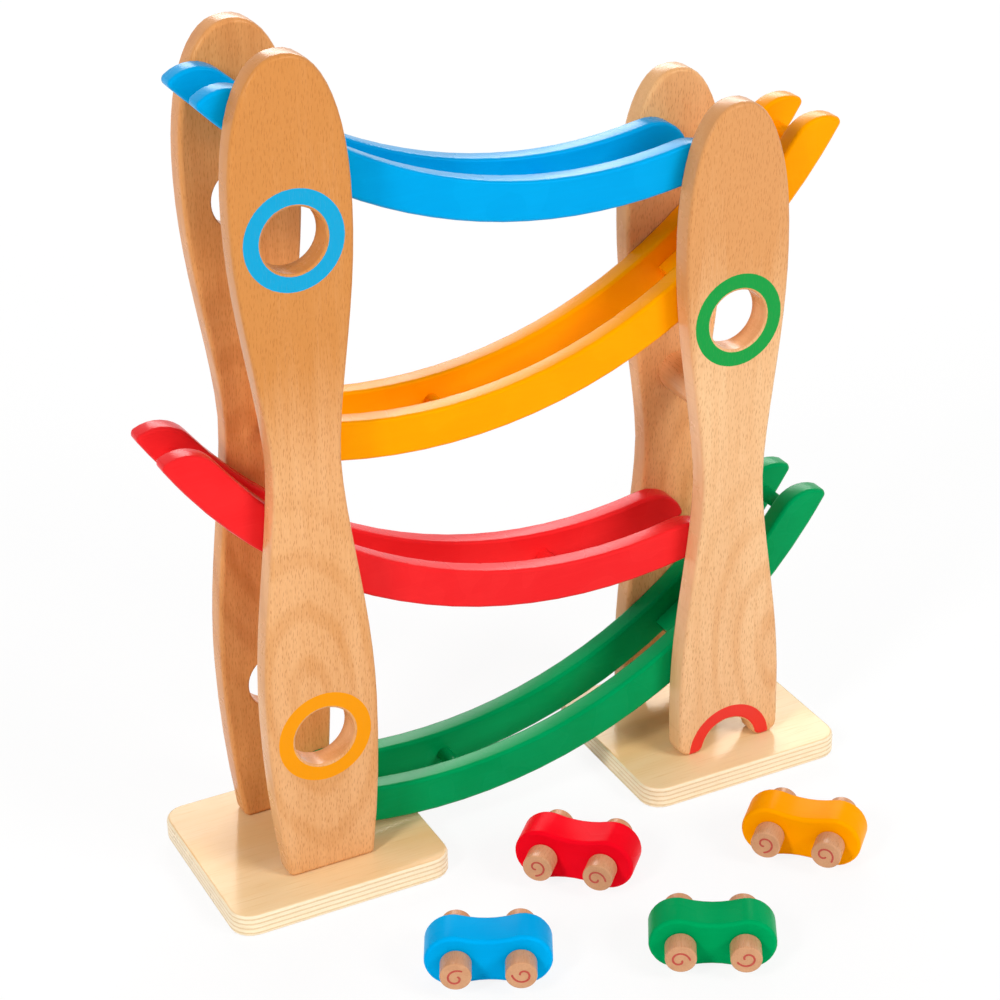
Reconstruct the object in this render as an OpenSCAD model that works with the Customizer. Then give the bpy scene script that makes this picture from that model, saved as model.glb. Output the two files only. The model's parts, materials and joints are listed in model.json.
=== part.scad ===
// Click clack track toy: two pairs of wooden panels stand on plywood bases and carry four
// curved tracks, one above the other, that lean by turns to the right and to the left.
// A track is a pair of painted rails with a lane between them. Four cars with a narrow
// waist lie on the floor in front: on a track, a car hangs by its wheels in the lane.
// Sizes are in mm, +Z is up, X runs across the front and Y runs to the back.

/* [Bases] */
// Length of a base, across the front
base_len = 122; // [90:1:160]
// Thickness of the plywood
base_t = 12.5; // [8:0.5:20]
// Base in front of the front panel
base_front_margin = 21.6; // [8:0.2:40]
// Base behind the back panel
base_back_margin = 15; // [8:0.2:40]
// How far a base's middle lies to the left of its tower's
base_offset = 1.1; // [0:0.1:6]
// Corner radius of a base, seen from above
base_corner_r = 12; // [4:0.5:30]
// Eased edge of a base
base_edge_r = 1.6; // [0.4:0.1:3]

/* [Towers] */
// Distance between the middles of the two towers
tower_pitch = 239.3; // [220:0.1:280]
// Thickness of a panel
panel_t = 14; // [11:0.5:24]
// Rounded edge of a panel
panel_edge_r = 2.4; // [0.5:0.1:3]
// Shape of the sides between bulge and waist, where 1 is a plain wave and less makes the bulge fuller
waist_share = 0.8; // [0.7:0.01:1]
// Roundness of the domes, where 2 is an ellipse
dome_power = 2.27; // [2:0.01:3]
// Radius of the finger holes and of the arch
hole_r = 16.25; // [10:0.25:18]
// Eased edge of a finger hole
hole_edge_r = 1.2; // [0.3:0.1:2]
// Height of the left panels
left_h = 436; // [420:0.5:470]
// Half the width of the left foot
left_foot_half = 24.2; // [21:0.1:30]
// Corner radius of the left foot
left_foot_r = 3.5; // [2.5:0.5:5]
// Height of the left lower bulge
left_low_z = 95; // [80:1:110]
// Half the width there
left_low_half = 30.3; // [24:0.1:36]
// Height of the left waist
left_waist_z = 232; // [220:1:245]
// Half the width there
left_waist_half = 17.9; // [16.5:0.1:22]
// Height of the left upper bulge
left_top_z = 360; // [345:1:370]
// Half the width there
left_top_half = 30.7; // [24:0.1:36]
// Height of the left lower finger hole
left_low_hole_z = 79.5; // [60:0.5:100]
// Height of the left upper finger hole
left_top_hole_z = 347.8; // [335:0.1:360]
// Height of the right panels
right_h = 372.5; // [360:0.5:400]
// Half the width of the right feet, over both
right_foot_half = 31.4; // [30:0.1:38]
// Outer corner radius of a right foot
right_foot_r = 7; // [2.5:0.5:8]
// Inner corner radius of a right foot
arch_foot_r = 5; // [2.5:0.5:5.5]
// Height up to which the right sides run straight
right_low_z = 30; // [20:1:45]
// Height of the right waist
right_waist_z = 163; // [150:1:175]
// Half the width there
right_waist_half = 18.3; // [15:0.1:22]
// Height of the right upper bulge
right_top_z = 292; // [275:1:300]
// Half the width there
right_top_half = 30.1; // [24:0.1:36]
// Height of the right finger hole
right_hole_z = 256.7; // [245:0.1:260]
// Diameter of the bar between the right panels
crossbar_d = 21.5; // [14:0.5:26]
// Height of that bar
crossbar_z = 204; // [180:0.5:215]

/* [Tracks] */
// Width of the lane between a track's rails
lane_w = 24; // [23:0.5:34]
// Thickness of a rail
rail_t = 12; // [10:0.5:18]
// Height of a rail's strip, from its running edge to its lower edge
rail_depth = 21; // [20.5:0.5:24]
// Radius of the running edge
running_r = 254.5; // [240:0.5:275]
// Rounded edge of a rail
rail_edge_r = 2; // [0.5:0.1:2.5]
// Height of the lowest track's running edge above the bases, at its lowest place
green_low_z = 25.9; // [24:0.1:30]
// Step in height from one track to the next
track_rise = 106.5; // [100:0.5:112]
// How far inward from its low tower a track is lowest
track_low_x = 74.3; // [66:0.1:84]
// Radius of the round noses at both ends of a rail
nose_r = 20.5; // [18:0.5:20.5]
// Corner radius at a nose's tip
tip_r = 3; // [2.6:0.1:5]
// Angle from the lowest place to the low nose
low_end_deg = 11.24; // [10.8:0.01:12.5]
// Angle from the lowest place to the horn's nose
horn_end_deg = 53.75; // [50:0.01:55]
// The same angle on the blue track, whose horn is shorter
blue_horn_end_deg = 43.2; // [41.5:0.01:48]
// How far below the running edge the pins and cross dowels lie
core_drop = 13.5; // [11.5:0.1:14]

/* [Cross dowels and landing boards] */
// Diameter of a cross dowel
dowel_d = 8; // [5:0.5:9]
// How deep a cross dowel sits in each rail
dowel_depth = 6; // [3:0.5:8]
// Angle of the low cross dowel from the lowest place
low_dowel_deg = 3; // [0:0.5:10]
// Thickness of a landing board
board_t = 8; // [5:0.5:10]
// How far a landing board lies below the running edge
board_drop = 10.6; // [9:0.1:11]
// Angle that a landing board spans
board_span_deg = 18; // [8:0.5:22]
// Angle between a landing board and the horn's cross dowel
board_gap_deg = 2.3; // [1.5:0.1:4]
// Eased edge of a landing board
board_edge_r = 1; // [0.3:0.1:2]

/* [Fixings] */
// Diameter of a blind pin
pin_d = 6; // [4:0.5:6.5]
// How deep a pin sits in each piece
pin_depth = 8; // [5:0.5:9]
// How far inward from a tower's middle the low ends are pinned
low_pin_x = 10; // [8:0.1:11]
// Diameter of a screw
screw_d = 3.5; // [2.5:0.1:4.5]
// Diameter of a screw's head
screw_head_d = 7; // [5.5:0.1:9]
// How far a screw goes up into a panel
screw_bite = 13.5; // [9:0.5:14]
// Distance of the left screws from their tower's middle
left_screw_x = 15; // [13.5:0.1:17]
// Distance of the right screws from their tower's middle
right_screw_x = 23; // [22:0.1:24.5]

/* [Cars] */
// Radius of a car body's round ends
lobe_r = 14.4; // [13:0.1:16]
// Distance of the round ends from the middle
lobe_x = 17.4; // [15:0.1:22]
// Half the height of the waist
waist_half = 11.9; // [10:0.1:12.5]
// Thickness of a car body
car_t = 21; // [12:0.5:22]
// Rounded edge of a car body
car_edge_r = 2; // [0.5:0.1:3]
// Distance between the axles
wheelbase = 32; // [28:0.5:38]
// Diameter of an axle
axle_d = 6; // [4:0.5:7]
// How deep an axle sits in a wheel
axle_depth = 8; // [5:0.5:10]
// Diameter of a wheel
wheel_d = 15.7; // [12:0.1:18]
// Length of a wheel
wheel_len = 11.25; // [10.75:0.25:14]
// Rounded edge of a wheel
wheel_edge_r = 0.8; // [0.3:0.1:1.5]

/* [Places of the cars] */
// Right of the left tower's middle: blue car
blue_car_x = 38.6; // [20:0.1:50]
// Gap from the bases' front line: blue car
blue_car_gap = 50.7; // [40:0.5:70]
// Turn from straight across: blue car
blue_car_turn = -26.5; // [-40:0.1:0]
// Right of the left tower's middle: green car
green_car_x = 142.2; // [130:0.1:155]
// Gap from the bases' front line: green car
green_car_gap = 91.4; // [90:0.1:120]
// Turn from straight across: green car
green_car_turn = -29.1; // [-45:0.1:0]
// Right of the left tower's middle: red car
red_car_x = 117.3; // [105:0.1:125]
// Gap from the bases' front line: red car, which reaches in between the bases
red_car_gap = -3.8; // [-4:0.1:6]
// Turn from straight across: red car
red_car_turn = -43.6; // [-60:0.1:-30]
// Right of the left tower's middle: yellow car
yellow_car_x = 231.4; // [220:0.1:245]
// Gap from the bases' front line: yellow car
yellow_car_gap = 35.3; // [30:0.1:60]
// Turn from straight across: yellow car
yellow_car_turn = -45; // [-60:0.1:-30]

/* [Hidden] */
$fn = 96;
// Tracks from the bottom up: they lean by turns to the right and to the left.
TRACKS = ["green", "red", "yellow", "blue"];
LANDING_TRACKS = ["green", "red", "yellow"];
SIDES = ["front", "back"];
CARS = ["blue", "green", "red", "yellow"];
AXLES = ["front", "rear"];
WHEEL_SIDES = ["near", "far"];

// Radial clearance of a glued pin, dowel or wheel
glue_gap = 0.05;
// Clearance at the blind end of a bore
end_gap = 0.3;
// Radial clearance of an axle that turns
running_gap = 0.08;
// Gap between a car body and its wheels
wheel_gap = 0.5;
// Gap between a landing board and a rail
board_gap = 0.1;
// Bevel on the ends of pins and dowels
bevel = 0.6;
// How far a screw's head lies inside the base
head_sink = 0.4;
// Width and depth of the cross in a screw's head
drive_w = 1;
drive_depth = 1.6;
// How far that cross reaches across the head
drive_share = 0.5;
// How much of a screw's thickness its tip is bevelled by
screw_tip_share = 0.25;
// One overrun for all cuts
over = 1;

// Steps in the curves
edge_steps = 2;
round_edge_steps = 3;
corner_steps = 5;
side_steps = 10;
foot_side_steps = 4;
dome_steps = 13;
arch_half_steps = 6;
rail_steps = 20;
lead_steps = 2;
nose_steps = 8;
lobe_steps = 9;
waist_steps = 3;

blue_paint = "#00a0eb";
yellow_paint = "#ffaa00";
green_paint = "#008c4b";
red_paint = "#e6141e";
beech = "#e1aa73";
birch_plywood = "#ebd2a5";
steel = "#a8a8ac";

panel_inner_y = lane_w / 2 + rail_t;
panel_outer_y = panel_inner_y + panel_t;
panel_mid_y = panel_inner_y + panel_t / 2;
front_line_y = -panel_outer_y - base_front_margin;
back_line_y = panel_outer_y + base_back_margin;
core_r = running_r + core_drop;
outer_r = running_r + rail_depth;
pin_r = pin_d / 2;
dowel_r = dowel_d / 2;
axle_r = axle_d / 2;
wheel_r = wheel_d / 2;
car_half_w = car_t / 2 + wheel_gap + wheel_len;

// Points and outlines

function polar(r, a) = [r * cos(a), r * sin(a)];

function arc(centre, r, from, to, steps) =
    [for (i = [0:steps]) centre + polar(r, from + (to - from) * i / steps)];

function but_first(list) = [for (i = [1:len(list) - 1]) list[i]];

function but_last(list) = [for (i = [0:len(list) - 2]) list[i]];

function flipped(points) = [for (i = [len(points) - 1:-1:0]) [-points[i].x, points[i].y]];

function unit(v) = v / norm(v);

function left_of(v) = [-v.y, v.x];

// A closed outline, counter-clockwise, with each side moved inward by d
function inset(points, d) =
    let (n = len(points))
    [
        for (i = [0:n - 1])
            let (
                before = left_of(unit(points[i] - points[(i + n - 1) % n])),
                after = left_of(unit(points[(i + 1) % n] - points[i]))
            )
            points[i] + d * (before + after) / (1 + before * after)
    ];

// Slabs: an outline with a thickness and rounded edges

function edge_rings(t, r, steps) =
    let (lower = [for (k = [0:steps]) [r * (1 - sin(90 * k / steps)), r * (1 - cos(90 * k / steps))]])
    concat(lower, [for (k = [steps:-1:0]) [lower[k].x, t - lower[k].y]]);

// What rounds a slab's edges, seen from the other side: it cuts an opening with rounded edges.
function opening_rings(t, r, steps) =
    let (
        lower = [for (k = [0:steps]) [-r * (1 - sin(90 * k / steps)), r * (1 - cos(90 * k / steps))]],
        upper = [for (k = [steps:-1:0]) [lower[k].x, t - lower[k].y]]
    )
    concat([[-r, -over]], lower, upper, [[-r, t + over]]);

// Point i of an outline of n points faces point n - 1 - i across the slab, and the flat
// faces are ladders of such pairs.
function between_rungs(i, n) =
    i + 1 == n - 2 - i ? [i, i + 1, n - 1 - i] : [i, i + 1, n - 2 - i, n - 1 - i];

function ladder(n) = [for (i = [0:ceil(n / 2) - 2]) between_rungs(i, n)];

// A closed solid through an outline drawn again and again, each time [moved inward, higher up]
module loft(outline, rings) {
    n = len(outline);
    top = len(rings) - 1;
    points = [for (ring = rings, p = inset(outline, ring.x)) [p.x, p.y, ring.y]];
    sides = [
        for (k = [0:top - 1], i = [0:n - 1])
            let (j = (i + 1) % n)
            [k * n + i, (k + 1) * n + i, (k + 1) * n + j, k * n + j]
    ];
    roof = [for (face = ladder(n)) [for (i = [len(face) - 1:-1:0]) top * n + face[i]]];
    polyhedron(points = points, faces = concat(sides, ladder(n), roof));
}

module slab(outline, t, edge_r) {
    loft(outline, edge_rings(t, edge_r, edge_steps));
}

// Stands a drawing up, with its thickness t between y and y + t
module upright(y, t) {
    translate([0, y + t, 0]) rotate([90, 0, 0]) children();
}

// A round bar along +Z with rounded or bevelled ends
module bar(r, length, edge, steps = 1) {
    rim = [for (k = [0:steps]) [r - edge * (1 - sin(90 * k / steps)), edge * (1 - cos(90 * k / steps))]];
    roof = [for (k = [steps:-1:0]) [rim[k].x, length - rim[k].y]];
    rotate_extrude() polygon(concat([[0, 0]], rim, roof, [[0, length]]));
}

// A round bar or a bore along Y, from y0 to y1
module bar_y(place, y0, y1, r, edge) {
    translate([place.x, y1, place.y]) rotate([90, 0, 0]) bar(r, y1 - y0, edge);
}

module bore_y(place, y0, y1, r) {
    translate([place.x, y1, place.y]) rotate([90, 0, 0]) cylinder(r = r, h = y1 - y0);
}

// What is drawn for the front is turned over for the back
module on_side(side) {
    if (side == "back") mirror([0, 1, 0]) children();
    else children();
}

// The whole object stands with the middle of its outline over the origin.
car_front_y = min([for (car = CARS) car_y(car) - car_reach(car)]);
middle_y = (back_line_y + car_front_y) / 2;

module placed() {
    translate([-tower_pitch / 2, -middle_y, 0]) children();
}

// Tracks

function level(track) = search([track], TRACKS)[0];

function leans_left(track) = level(track) % 2 == 1;

function has_landing(track) = len([for (t = LANDING_TRACKS) if (t == track) t]) > 0;

function horn_deg(track) = track == "blue" ? blue_horn_end_deg : horn_end_deg;

function track_z(track) = base_t + green_low_z + level(track) * track_rise + running_r;

function track_x(track) = leans_left(track) ? tower_pitch - track_low_x : track_low_x;

// The value of a list that belongs to a track or a car; the list goes from the bottom track up
function own(name, values) = values[level(name)];

function track_paint(track) = own(track, [green_paint, red_paint, yellow_paint, blue_paint]);

// A place on a track's core line, at x from the lowest place toward the horn
function core_at_x(x) = [x, -sqrt(pow(core_r, 2) - pow(x, 2))];

function core_at_deg(a) = polar(core_r, a - 90);

low_pin_place = core_at_x(low_pin_x - track_low_x);
high_pin_place = core_at_x(tower_pitch - track_low_x);

module in_track(track) {
    translate([track_x(track), 0, track_z(track)])
        mirror([leans_left(track) ? 1 : 0, 0, 0])
            children();
}

// The same place seen in the whole object
function seen(track, place) =
    [track_x(track) + (leans_left(track) ? -place.x : place.x), track_z(track) + place.y];

// A rectangle from radius r0 to r1, its corners rounded in the same steps as a slab's edge
function strip_section(r0, r1, t, edge_r) =
    concat(
        arc([r0 + edge_r, edge_r], edge_r, 180, 270, edge_steps),
        arc([r1 - edge_r, edge_r], edge_r, 270, 360, edge_steps),
        arc([r1 - edge_r, t - edge_r], edge_r, 0, 90, edge_steps),
        arc([r0 + edge_r, t - edge_r], edge_r, 90, 180, edge_steps)
    );

// A strip bent round the arc's centre, from one angle to another
module bent_strip(section, from, to) {
    rotate([0, 0, from - 90]) rotate_extrude(angle = to - from) polygon(section);
}

// The end of a rail is a quarter round whose tip is rounded off: [how far its tip's centre
// leads, the tip's centre, the nose's centre, the direction in which the two curves meet].
function nose(deg) =
    let (
        nose_centre_r = running_r + nose_r,
        tip_centre_r = outer_r - tip_r,
        lead = acos(
            (pow(nose_centre_r, 2) + pow(tip_centre_r, 2) - pow(nose_r - tip_r, 2))
            / (2 * nose_centre_r * tip_centre_r)
        ),
        nose_centre = polar(nose_centre_r, deg - 90),
        tip_centre = polar(tip_centre_r, deg + lead - 90),
        across = tip_centre - nose_centre
    )
    [lead, tip_centre, nose_centre, atan2(across.y, across.x)];

// From a rail's lower edge round its tip, and on from there to its running edge
function tip_points(deg) =
    let (n = nose(deg))
    concat(
        arc([0, 0], outer_r, deg - 90, deg + n[0] - 90, lead_steps),
        but_first(arc(n[1], tip_r, deg + n[0] - 90, n[3], corner_steps))
    );

function nose_points(deg) = let (n = nose(deg)) but_first(arc(n[2], nose_r, n[3], deg + 90, nose_steps));

// The points of a rail's edge between its noses
function run_points(r, from, to) = but_first(but_last(arc([0, 0], r, from - 90, to - 90, rail_steps)));

function rail_outline(track) =
    concat(
        nose_points(horn_deg(track)),
        run_points(running_r, horn_deg(track), -low_end_deg),
        flipped(concat(tip_points(low_end_deg), nose_points(low_end_deg))),
        run_points(outer_r, -low_end_deg, horn_deg(track)),
        tip_points(horn_deg(track))
    );

module front_rail(track) {
    in_track(track) difference() {
        upright(-panel_inner_y, rail_t) slab(rail_outline(track), rail_t, rail_edge_r);
        dowel_bore(low_dowel_deg);
        if (has_landing(track)) dowel_bore(horn_deg(track));
        pin_bore(low_pin_place, 0);
        pin_bore(high_pin_place, 0);
    }
}

module dowel_bore(deg) {
    bore_y(core_at_deg(deg), -lane_w / 2 - dowel_depth - end_gap, -lane_w / 2 + over, dowel_r + glue_gap);
}

// A pin's bore, in the rail (in_panel = 0) or in the panel (in_panel = 1)
module pin_bore(place, in_panel) {
    depth = pin_depth + end_gap;
    y0 = -panel_inner_y - (in_panel == 1 ? depth : over);
    y1 = -panel_inner_y + (in_panel == 1 ? over : depth);
    bore_y(place, y0, y1, pin_r + glue_gap);
}

module rail(track, side) {
    color(track_paint(track)) placed() on_side(side) front_rail(track);
}

module low_dowel(track) {
    color(track_paint(track)) placed() in_track(track) cross_dowel(low_dowel_deg);
}

module horn_dowel(track) {
    color(track_paint(track)) placed() in_track(track) cross_dowel(horn_deg(track));
}

module cross_dowel(deg) {
    reach = lane_w / 2 + dowel_depth;
    bar_y(core_at_deg(deg), -reach, reach, dowel_r, bevel);
}

// A curved board that fills the lane just before the horn
module landing_board(track) {
    end_deg = horn_deg(track) - board_gap_deg;
    top_r = running_r + board_drop;
    width = lane_w - 2 * board_gap;
    section = strip_section(top_r, top_r + board_t, width, board_edge_r);
    color(track_paint(track)) placed() in_track(track)
        upright(-width / 2, width) bent_strip(section, end_deg - board_span_deg, end_deg);
}

// Panels

// Half the width at height z, between a bulge and a waist or back. The bulge's share of the
// way is the larger one, because its curve is fuller than the waist's.
function wave(z, z0, half0, z1, half1) =
    let (
        from_waist = (1 - cos(180 * (z - z0) / (z1 - z0))) / 2,
        rise = pow(half1 > half0 ? from_waist : 1 - from_waist, waist_share)
    )
    min(half0, half1) + abs(half1 - half0) * rise;

function wave_points(z0, half0, z1, half1) =
    [
        for (i = [1:side_steps])
            let (z = z0 + (z1 - z0) * i / side_steps)
            [wave(z, z0, half0, z1, half1), z]
    ];

// The side widens from the foot up to the lower bulge
function foot_side_points(foot_half, foot_r, low_z, low_half) =
    let (steps = low_half > foot_half ? foot_side_steps : 1)
    [
        for (i = [1:steps])
            let (z = foot_r + (low_z - foot_r) * i / steps)
            [low_half - (low_half - foot_half) * pow((low_z - z) / (low_z - foot_r), 2), z]
    ];

function dome_points(top_z, top_half, height) =
    [
        for (i = [1:dome_steps])
            let (a = 90 * i / dome_steps)
            [top_half * pow(cos(a), 2 / dome_power), top_z + (height - top_z) * pow(sin(a), 2 / dome_power)]
    ];

// One side of a panel from the corner of its foot to the top of its dome
function panel_side(foot_half, foot_r, low, waist, top, height) =
    let (lean = atan(2 * (low.x - foot_half) / (low.y - foot_r)))
    concat(
        but_last(arc([foot_half - foot_r, foot_r], foot_r, -90, -lean, corner_steps)),
        [[foot_half, foot_r]],
        foot_side_points(foot_half, foot_r, low.y, low.x),
        wave_points(low.y, low.x, waist.y, waist.x),
        wave_points(waist.y, waist.x, top.y, top.x),
        dome_points(top.y, top.x, height)
    );

left_side = panel_side(
    left_foot_half, left_foot_r, [left_low_half, left_low_z],
    [left_waist_half, left_waist_z], [left_top_half, left_top_z], left_h
);

right_side = panel_side(
    right_foot_half, right_foot_r, [right_foot_half, right_low_z],
    [right_waist_half, right_waist_z], [right_top_half, right_top_z], right_h
);

// The opening between the right feet: an arch, and below it the rounded corners of the feet
function arch_outline() =
    let (
        corner_x = sqrt(pow(hole_r + arch_foot_r, 2) - pow(arch_foot_r, 2)),
        spring = atan2(arch_foot_r, corner_x),
        corner = arc([corner_x, arch_foot_r], arch_foot_r, -90, -180 + spring, corner_steps),
        crown = arc([0, 0], hole_r, spring, 90, arch_half_steps),
        half = concat([[corner_x, -2 * panel_edge_r]], but_last(corner), crown)
    )
    concat(half, but_first(flipped(half)));

left_outline = concat(left_side, but_first(flipped(left_side)));
right_outline = concat(right_side, but_first(flipped(right_side)));

module finger_hole(z) {
    bore_y([0, z], -panel_outer_y - over, -panel_inner_y + over, hole_r);
    translate([0, -panel_outer_y, z]) rotate([-90, 0, 0]) hole_flare();
    translate([0, -panel_inner_y, z]) rotate([90, 0, 0]) hole_flare();
}

// Cuts the rounded edge at the mouth of a finger hole; its outermost facet runs on past the face.
module hole_flare() {
    e = hole_edge_r;
    curve = arc([hole_r + e, e], e, -90, -180, round_edge_steps);
    beyond = curve[0] + over * unit(curve[0] - curve[1]);
    inner_r = hole_r - over;
    rotate_extrude() polygon(concat([[inner_r, e], [inner_r, beyond.y], beyond], but_first(curve)));
}

// Where the four tracks are pinned to the tower at x
function pin_places(at_left) =
    [
        for (track = TRACKS)
            seen(track, leans_left(track) == at_left ? high_pin_place : low_pin_place)
    ];

module screw_bore(x) {
    translate([x, -panel_mid_y, base_t - over])
        cylinder(r = screw_d / 2 + glue_gap, h = screw_bite + end_gap + over);
}

module arch() {
    upright(-panel_outer_y, panel_t) loft(arch_outline(), opening_rings(panel_t, panel_edge_r, edge_steps));
}

module front_panel(outline, holes, screw_x, x, pins, arched = false) {
    difference() {
        translate([x, 0, base_t]) difference() {
            upright(-panel_outer_y, panel_t) slab(outline, panel_t, panel_edge_r);
            for (z = holes) finger_hole(z);
            if (arched) arch();
        }
        for (place = pins) pin_bore(place, 1);
        for (s = [-1, 1]) screw_bore(x + s * screw_x);
    }
}

module left_panel(side) {
    color(beech) placed() on_side(side)
        front_panel(left_outline, [left_low_hole_z, left_top_hole_z], left_screw_x, 0, pin_places(true));
}

module right_panel(side) {
    color(beech) placed() on_side(side)
        front_panel(right_outline, [right_hole_z], right_screw_x, tower_pitch, right_pin_places(), true);
}

crossbar_place = [tower_pitch, base_t + crossbar_z];

function right_pin_places() = concat(pin_places(false), [crossbar_place]);

module crossbar() {
    color(beech) placed() difference() {
        bore_y(crossbar_place, -panel_inner_y, panel_inner_y, crossbar_d / 2);
        for (side = SIDES) on_side(side) pin_bore(crossbar_place, 0);
    }
}

module pins(places) {
    color(beech) placed() for (place = places, side = SIDES) on_side(side)
        bar_y(place, -panel_inner_y - pin_depth, -panel_inner_y + pin_depth, pin_r, bevel);
}

// Bases and their screws

function base_outline() =
    let (
        r = base_corner_r,
        x = base_len / 2 - r,
        y0 = front_line_y + r,
        y1 = back_line_y - r
    )
    concat(
        arc([x, y0], r, -90, 0, corner_steps),
        arc([x, y1], r, 0, 90, corner_steps),
        arc([-x, y1], r, 90, 180, corner_steps),
        arc([-x, y0], r, 180, 270, corner_steps)
    );

module at_screws(x, screw_x) {
    for (side = SIDES, s = [-1, 1])
        on_side(side) translate([x + s * screw_x, -panel_mid_y, head_sink]) children();
}

// A countersunk screw from its head up, wider by the gap where it is a cut
module screw_form(gap, length, tip) {
    head_r = screw_head_d / 2 + gap;
    shank_r = screw_d / 2 + gap;
    head = [[0, 0], [head_r, 0], [shank_r, head_r - shank_r]];
    shank = [[shank_r, length - tip], [shank_r - tip, length], [0, length]];
    rotate_extrude() polygon(concat(head, shank));
}

screw_len = base_t - head_sink + screw_bite;
drive_len = screw_head_d * drive_share;

module screw() {
    difference() {
        screw_form(0, screw_len, screw_d * screw_tip_share);
        for (a = [0, 90]) rotate([0, 0, a])
            translate([-drive_len / 2, -drive_w / 2, -over])
                cube([drive_len, drive_w, drive_depth + over]);
    }
}

module screw_hole() {
    screw_form(glue_gap, base_t + over, 0);
    translate([0, 0, -head_sink - over]) cylinder(r = screw_head_d / 2 + glue_gap, h = head_sink + over);
}

module base(x, screw_x) {
    color(birch_plywood) placed() difference() {
        translate([x - base_offset, 0, 0]) slab(base_outline(), base_t, base_edge_r);
        at_screws(x, screw_x) screw_hole();
    }
}

module screws(x, screw_x) {
    color(steel) placed() at_screws(x, screw_x) screw();
}

// Cars

function car_x(car) = own(car, [green_car_x, red_car_x, yellow_car_x, blue_car_x]);

function car_gap(car) = own(car, [green_car_gap, red_car_gap, yellow_car_gap, blue_car_gap]);

function car_turn(car) = own(car, [green_car_turn, red_car_turn, yellow_car_turn, blue_car_turn]);

// How far a turned car reaches forward or back from its middle
function car_reach(car) =
    let (s = abs(sin(car_turn(car))), c = abs(cos(car_turn(car))))
    max(s * (wheelbase / 2 + wheel_r) + c * car_half_w, s * (lobe_x + lobe_r) + c * car_t / 2);

function car_y(car) = front_line_y - car_gap(car) - car_reach(car);

// In the car's own frame X runs along it, and the axles' height is 0.
module in_car(car) {
    placed() translate([car_x(car), car_y(car), lobe_r]) rotate([0, 0, car_turn(car)]) children();
}

function axle_x(axle) = (axle == "front" ? 1 : -1) * wheelbase / 2;

// The hollow of the waist is an arc that runs smoothly into both round ends.
waist_r = (pow(lobe_x, 2) + pow(waist_half, 2) - pow(lobe_r, 2)) / (2 * (lobe_r - waist_half));
waist_turn = asin(lobe_x / (waist_r + lobe_r));

function car_outline() =
    let (
        lobe_end = 90 + waist_turn,
        lobe = arc([lobe_x, 0], lobe_r, lobe_end / (2 * lobe_steps + 1), lobe_end, lobe_steps),
        hollow = arc([0, waist_half + waist_r], waist_r, -90 + waist_turn, -90, waist_steps),
        quarter = concat(lobe, but_first(hollow)),
        half = concat(quarter, but_first(flipped(quarter)))
    )
    concat(half, [for (i = [len(half) - 1:-1:0]) [half[i].x, -half[i].y]]);

module car_body(car) {
    color(track_paint(car)) in_car(car) difference() {
        upright(-car_t / 2, car_t) slab(car_outline(), car_t, car_edge_r);
        for (axle = AXLES)
            bore_y([axle_x(axle), 0], -car_t / 2 - over, car_t / 2 + over, axle_r + running_gap);
    }
}

axle_half = car_t / 2 + wheel_gap + axle_depth;

module car_axle(car, axle) {
    color(beech) in_car(car) bar_y([axle_x(axle), 0], -axle_half, axle_half, axle_r, bevel);
}

module car_wheel(car, axle, side) {
    inner_y = -car_t / 2 - wheel_gap;
    place = [axle_x(axle), 0];
    color(beech) in_car(car) on_side(side == "far" ? "back" : "front") difference() {
        translate([place.x, inner_y, 0]) rotate([90, 0, 0])
            bar(wheel_r, wheel_len, wheel_edge_r, round_edge_steps);
        bore_y(place, -axle_half - end_gap, inner_y + over, axle_r + glue_gap);
    }
}

// What is drawn

base(0, left_screw_x);  // left_base
base(tower_pitch, right_screw_x);  // right_base
left_panel("front");  // left_front_panel
left_panel("back");  // left_back_panel
right_panel("front");  // right_front_panel
right_panel("back");  // right_back_panel
crossbar();
for (track = TRACKS, side = SIDES)
    rail(track, side);
for (track = TRACKS)
    low_dowel(track);
for (track = LANDING_TRACKS)
    horn_dowel(track);
for (track = LANDING_TRACKS)
    landing_board(track);
pins(pin_places(true));  // left_pins
pins(right_pin_places());  // right_pins
screws(0, left_screw_x);  // left_screws
screws(tower_pitch, right_screw_x);  // right_screws
for (car = CARS)
    car_body(car);
for (car = CARS, axle = AXLES)
    car_axle(car, axle);
for (car = CARS, axle = AXLES, side = WHEEL_SIDES)
    car_wheel(car, axle, side);
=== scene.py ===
"""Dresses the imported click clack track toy: beech towers, painted tracks and four small cars.

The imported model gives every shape. This script gives each piece its finish, adds the printed
spirals on the wheels, and sets up the floor, the lights and the camera. Lengths are in metres.
"""

import json
import logging
import math
from dataclasses import dataclass
from enum import Enum

import bmesh
import bpy
from mathutils import Matrix, Vector


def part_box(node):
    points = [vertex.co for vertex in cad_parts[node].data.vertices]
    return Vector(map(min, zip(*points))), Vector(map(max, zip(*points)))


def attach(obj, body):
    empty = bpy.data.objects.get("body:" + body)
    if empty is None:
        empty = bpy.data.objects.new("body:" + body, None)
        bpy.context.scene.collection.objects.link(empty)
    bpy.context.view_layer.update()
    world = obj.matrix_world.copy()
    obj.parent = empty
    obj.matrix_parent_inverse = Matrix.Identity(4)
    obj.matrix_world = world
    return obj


Socket = bpy.types.NodeSocket
Sockets = bpy.types.bpy_prop_collection
Colour = tuple[float, float, float, float]
Triple = tuple[float, float, float]

LOG = logging.getLogger("track_toy")
MM = 0.001
ZERO = (0.0, 0.0, 0.0)

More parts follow.
